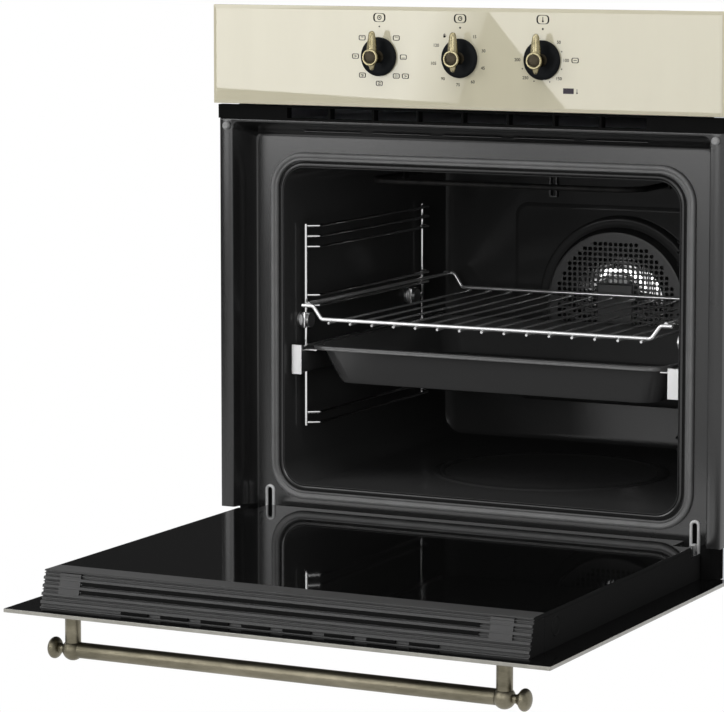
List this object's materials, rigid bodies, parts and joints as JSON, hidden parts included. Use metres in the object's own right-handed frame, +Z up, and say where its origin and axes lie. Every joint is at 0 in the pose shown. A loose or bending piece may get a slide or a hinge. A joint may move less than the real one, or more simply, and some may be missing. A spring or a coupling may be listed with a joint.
{
  "type": "built-in electric oven",
  "caption": "Built-in electric oven in country style: cream control panel with lever knobs, drop-down glass door with a rail handle, wire shelf, deep tray on runners and fan.",
  "frame": {"origin": "on the niche floor, under the middle of the control panel's front face", "axes": "+X to the viewer's right, +Y into the oven, +Z up; rest pose is the door fully open"},
  "size_m": [0.595, 0.991, 0.6433],
  "materials": {
    "enamel_black": "gloss vitreous enamel",
    "panel_glass": "cream back-painted glass, opaque",
    "gasket": "grey silicone",
    "chrome_wire": "polished wire",
    "zinc_steel": "galvanised sheet",
    "steel": "satin",
    "heater": "oxidised tube",
    "wool": "mineral wool",
    "black_plastic": "moulded",
    "light_plastic": "moulded",
    "ceramic": "unglazed",
    "lamp_glass": "clear",
    "dark_glass": "dark reflective glass",
    "pilot_red": "dark translucent",
    "aged_brass": "antique, waxed",
    "lever_brass": "aged, polished highlights",
    "disc_black": "gloss",
    "aluminium": "satin"
  },
  "bodies": {
    "oven": {"front_frame": "enamel_black", "vent_strip": "black_plastic", "control_panel": "panel_glass", "panel_carrier": "zinc_steel", "pilot_lens": "pilot_red", "door_bumpers": "gasket", "door_gasket": "gasket", "cavity": "enamel_black", "fan_cover": "enamel_black", "ring_element": "heater", "fan_motor": "zinc_steel", "grill_element": "heater", "base_element": "heater", "lamp_holder": "ceramic", "lamp_lens": "lamp_glass", "insulation": "wool", "side_cover_left": "zinc_steel", "side_cover_right": "zinc_steel", "top_cover": "zinc_steel", "back_cover": "zinc_steel", "base_plate": "zinc_steel", "air_guide": "zinc_steel", "blower_housing": "zinc_steel", "function_switch": "light_plastic", "timer": "light_plastic", "thermostat": "light_plastic", "terminal_block": "black_plastic", "rack_left": "chrome_wire", "rack_right": "chrome_wire", "rack_bolts": "steel", "rail_left": "steel", "rail_right": "steel", "hinge_receivers": "zinc_steel", "hinge_arm_left": "steel", "hinge_arm_right": "steel"},
    "door": {"door_glass_outer": "dark_glass", "door_glass_inner": "dark_glass", "door_side_left": "enamel_black", "door_side_right": "enamel_black", "door_vent_rail": "black_plastic", "door_foot_rail": "zinc_steel", "hinge_left": "steel", "hinge_right": "steel", "handle_posts": "aged_brass", "handle_bar": "aged_brass"},
    "knob_left": {"disc_left": "disc_black", "lever_left": "lever_brass", "spindle_left": "steel"},
    "knob_middle": {"disc_middle": "disc_black", "lever_middle": "lever_brass", "spindle_middle": "steel"},
    "knob_right": {"disc_right": "disc_black", "lever_right": "lever_brass", "spindle_right": "steel"},
    "shelf": {"wire_shelf": "chrome_wire"},
    "tray": {"baking_tray": "enamel_black", "runner_left": "steel", "runner_right": "steel"},
    "fan": {"fan_impeller": "aluminium"},
    "blower": {"blower_wheel": "aluminium"}
  },
  "joints": [
    {"name": "door_hinge", "type": "hinge", "parent": "oven", "child": "door", "pos_m": [0, 0.017, 0.0225], "axis": [1, 0, 0], "range_deg": [-90, 0]},
    {"name": "knob_left_turn", "type": "hinge", "parent": "oven", "child": "knob_left", "pos_m": [-0.095, 0, 0.5458], "axis": [0, 1, 0], "continuous": true},
    {"name": "knob_middle_turn", "type": "hinge", "parent": "oven", "child": "knob_middle", "pos_m": [0, 0, 0.5458], "axis": [0, 1, 0], "range_deg": [0, 300]},
    {"name": "knob_right_turn", "type": "hinge", "parent": "oven", "child": "knob_right", "pos_m": [0.095, 0, 0.5458], "axis": [0, 1, 0], "range_deg": [0, 285]},
    {"name": "shelf_slide", "type": "slide", "parent": "oven", "child": "shelf", "axis": [0, -1, 0], "range_m": [0, 0.34]},
    {"name": "tray_slide", "type": "slide", "parent": "oven", "child": "tray", "axis": [0, -1, 0], "range_m": [0, 0.33]},
    {"name": "fan_spin", "type": "hinge", "parent": "oven", "child": "fan", "pos_m": [0, 0.44, 0.24], "axis": [0, 1, 0], "continuous": true},
    {"name": "blower_spin", "type": "hinge", "parent": "oven", "child": "blower", "pos_m": [0, 0.4, 0.5], "axis": [0, 0, 1], "continuous": true}
  ]
}
